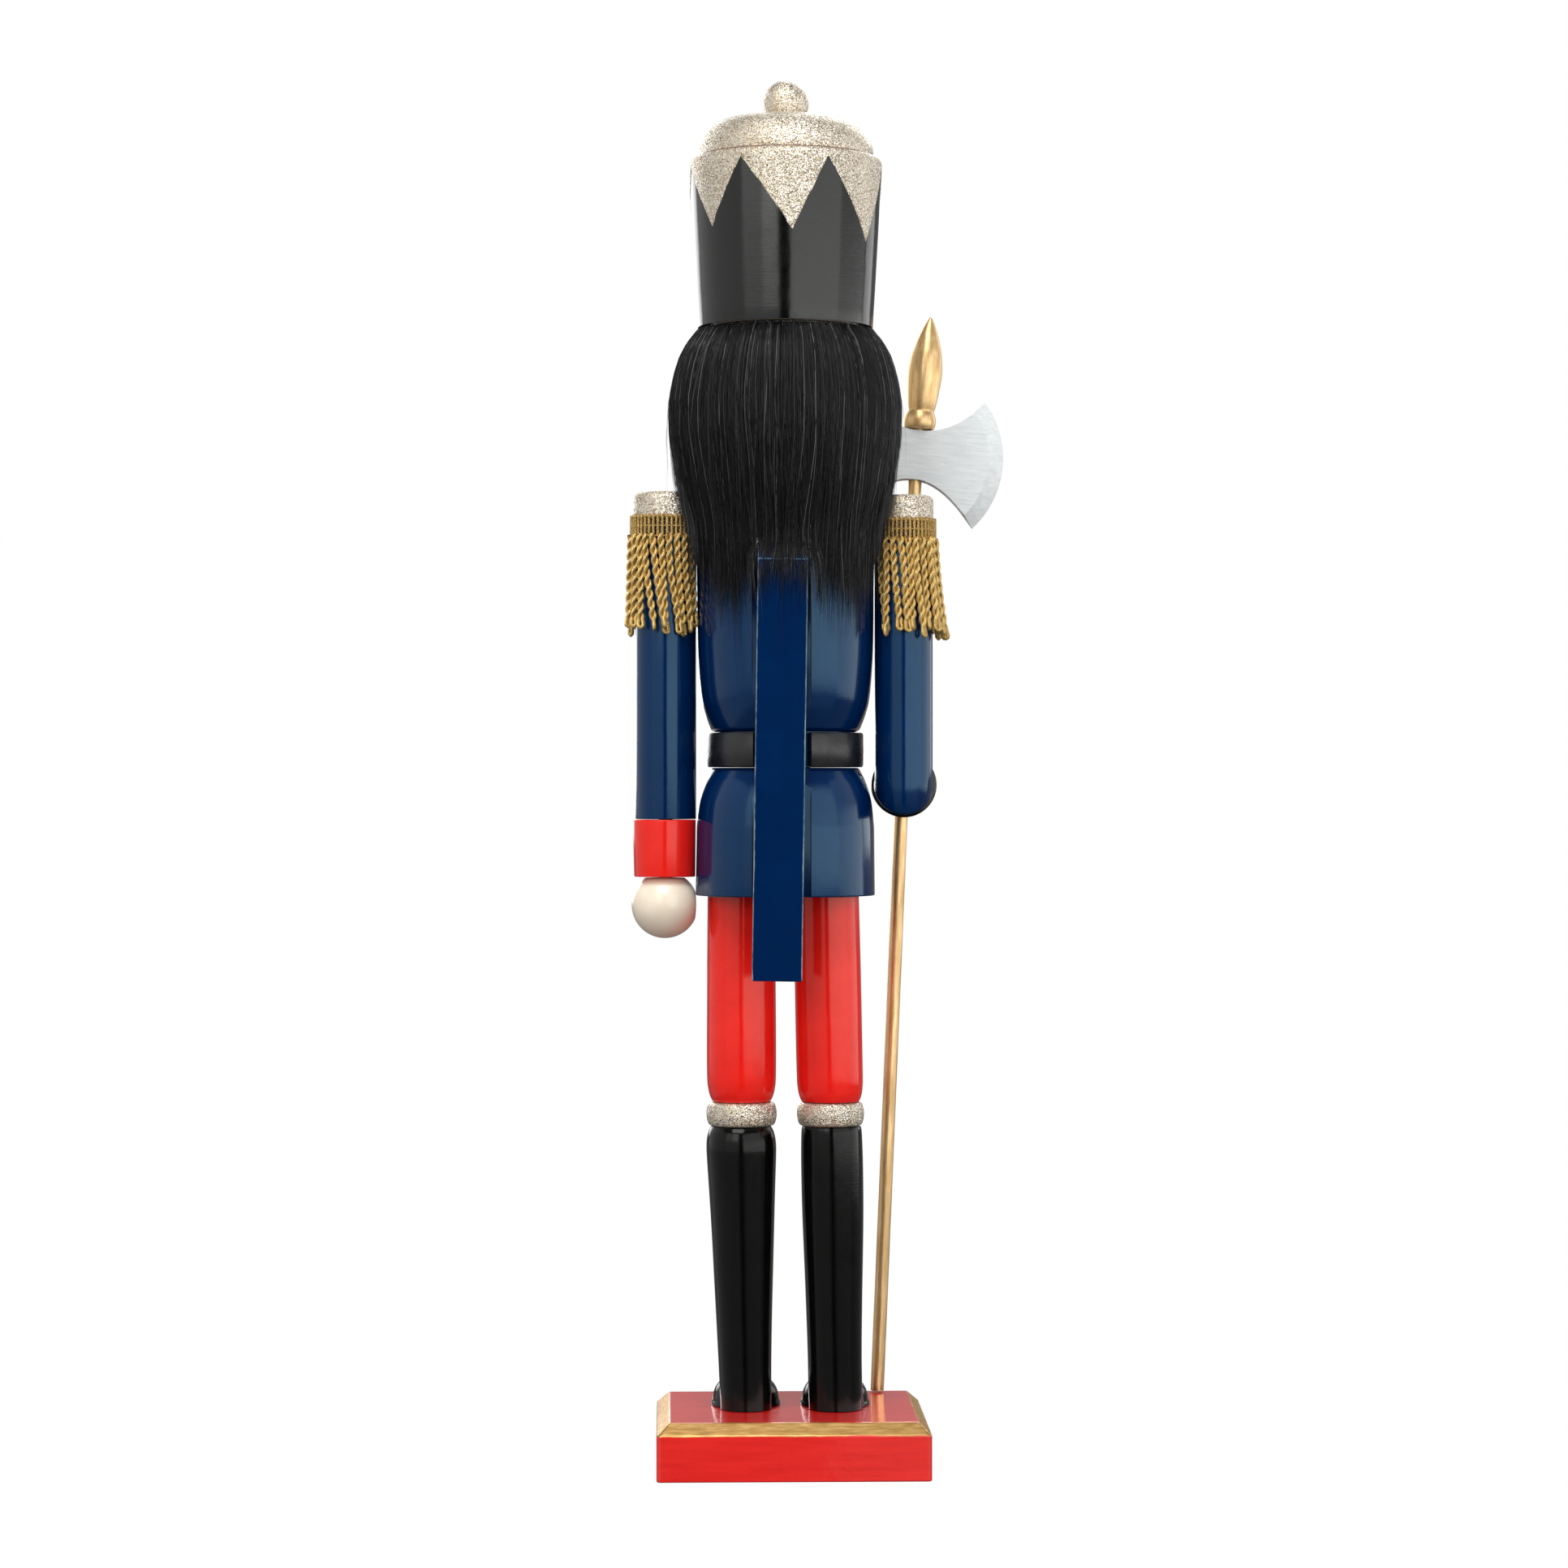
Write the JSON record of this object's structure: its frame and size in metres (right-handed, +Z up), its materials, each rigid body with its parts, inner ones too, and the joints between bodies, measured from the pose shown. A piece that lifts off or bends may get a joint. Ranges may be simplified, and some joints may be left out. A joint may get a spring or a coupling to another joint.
{
  "type": "nutcracker figure",
  "caption": "Tall wooden soldier nutcracker on a block base, with a lever-worked jaw, fringed shoulders, fur wig, drum hat and a lift-out halberd.",
  "frame": {"origin": "on the floor, at the underside of the base, below the axis that the body, head and hat are turned about", "axes": "+Z up along the body, the figure faces -Y, its own left hand is on +X and its halberd hand on -X"},
  "size_m": [0.1679, 0.1217, 0.6101],
  "materials": {
    "red_gloss": "gloss red lacquer on turned wood",
    "navy_gloss": "gloss navy blue lacquer on turned wood",
    "champagne_glitter": "fine champagne glitter in lacquer",
    "gold_bullion": "twisted metallic gold bullion cord",
    "brass_trim": "polished brass trim",
    "pin_steel": "plain drawn steel wire",
    "silver_paint": "brushed silver paint",
    "skin_paint": "satin cream flesh paint",
    "bare_beech": "bare sanded beech dowel",
    "belt_leather": "satin black leatherette",
    "black_fur": "long black imitation fur",
    "black_gloss": "gloss black lacquer on turned wood",
    "gold_paint": "brushed metallic gold paint"
  },
  "bodies": {
    "figure": {"arm_left": "navy_gloss", "base_block": "red_gloss", "belt": "belt_leather", "belt_buckle": "brass_trim", "body_dowel": "bare_beech", "boot_left": "black_gloss", "boot_right": "black_gloss", "coat_button_left_1": "brass_trim", "coat_button_left_2": "brass_trim", "coat_button_left_3": "brass_trim", "coat_button_right_1": "brass_trim", "coat_button_right_2": "brass_trim", "coat_button_right_3": "brass_trim", "coat_skirt": "navy_gloss", "cuff_left": "red_gloss", "cuff_right": "red_gloss", "elbow_dowel_right": "bare_beech", "epaulette_cap_left": "champagne_glitter", "epaulette_cap_right": "champagne_glitter", "epaulette_fringe_left": "gold_bullion", "epaulette_fringe_right": "gold_bullion", "forearm_right": "navy_gloss", "hair": "black_fur", "hand_left": "skin_paint", "hand_right": "skin_paint", "hat_ball": "champagne_glitter", "hat_body": "black_gloss", "hat_crown": "champagne_glitter", "hat_dowel": "bare_beech", "head": "skin_paint", "knee_ring_left": "champagne_glitter", "knee_ring_right": "champagne_glitter", "leg_dowel_left": "bare_beech", "leg_dowel_right": "bare_beech", "moustache": "black_fur", "neck_dowel_left": "bare_beech", "neck_dowel_right": "bare_beech", "nose": "skin_paint", "pivot_pin": "pin_steel", "shoe_left": "black_gloss", "shoe_right": "black_gloss", "shoulder_dowel_left": "bare_beech", "shoulder_dowel_right": "bare_beech", "torso": "navy_gloss", "trouser_left": "red_gloss", "trouser_right": "red_gloss", "upper_arm_right": "navy_gloss", "wrist_dowel_left": "bare_beech", "wrist_dowel_right": "bare_beech"},
    "lever": {"lever": "navy_gloss", "jaw": "skin_paint", "beard": "black_fur"},
    "halberd": {"halberd_shaft": "gold_paint", "axe_head": "silver_paint", "spear_point": "gold_paint"}
  },
  "joints": [
    {"name": "lever_hinge", "type": "hinge", "parent": "figure", "child": "lever", "pos_m": [0, 0.004, 0.416], "axis": [1, 0, 0], "range_deg": [0, 22]},
    {"name": "halberd_lift", "type": "slide", "parent": "figure", "child": "halberd", "axis": [-0.0417, -0.0282, 0.9987], "range_m": [0, 0.26]}
  ]
}
